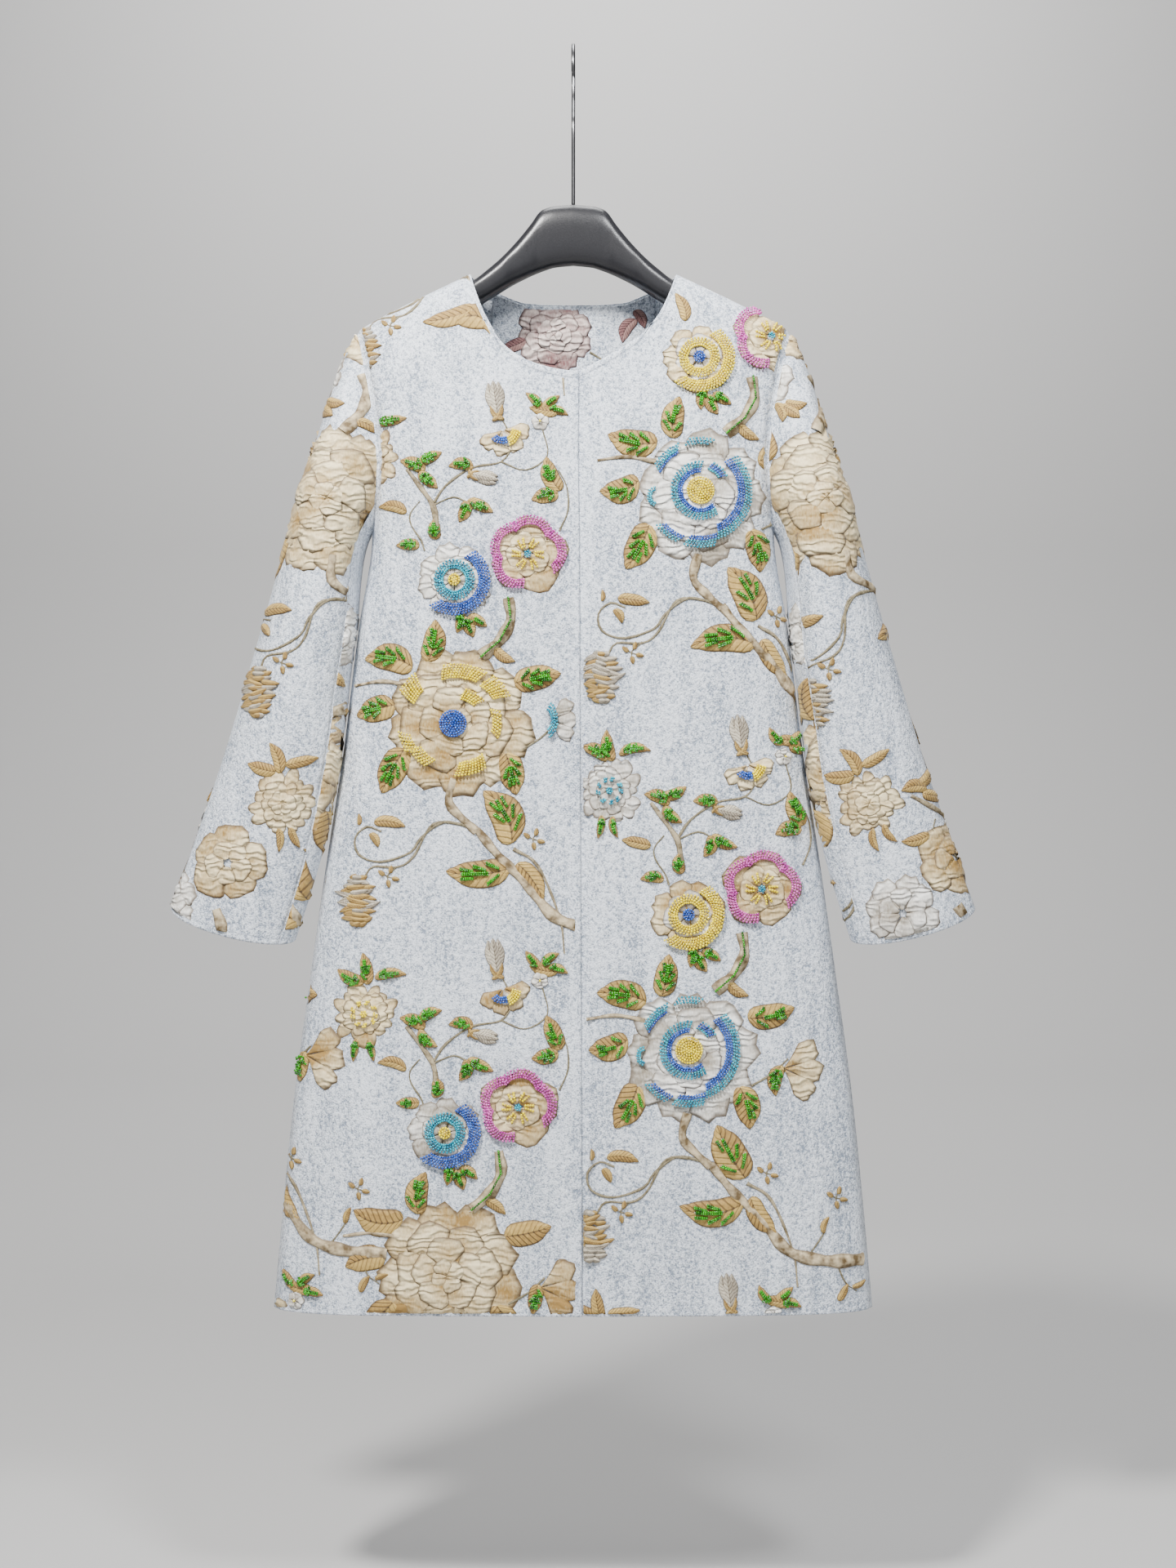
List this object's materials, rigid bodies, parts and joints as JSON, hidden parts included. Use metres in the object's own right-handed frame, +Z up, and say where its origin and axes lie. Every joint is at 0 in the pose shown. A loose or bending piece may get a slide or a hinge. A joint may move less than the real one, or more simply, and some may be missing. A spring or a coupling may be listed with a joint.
{
  "type": "collarless coat on a hanger",
  "caption": "Collarless A-line coat in pale relief jacquard with beaded flowers, bracelet sleeves and a concealed front, hanging on a contoured plastic hanger.",
  "frame": {"origin": "the inside top of the hanger's hook, where a rail holds it", "axes": "+Z up, -Y towards the coat's front, +X towards the wearer's left"},
  "size_m": [0.6698, 0.1203, 1.0622],
  "materials": {
    "cloth": "speckled relief jacquard with a soft satin sheen",
    "tan_relief": "gold-tan relief leaves and petals, puckered",
    "cream_relief": "cream and white relief petals, puckered",
    "stems": "olive-brown woven stems and outlines",
    "beads": "small sewn glass beads in yellow, blue, turquoise, pink and green",
    "thread": "sewing thread",
    "hanger": "satin black moulded plastic",
    "hook": "darkened steel wire"
  },
  "bodies": {
    "root": {"front_right": "cloth", "front_left": "cloth", "back": "cloth", "back_neck_facing": "cloth", "sleeve_upper_right": "cloth", "sleeve_upper_left": "cloth", "sleeve_under_right": "cloth", "sleeve_under_left": "cloth", "hanger_body": "hanger", "hanger_hook": "hook"}
  },
  "joints": []
}
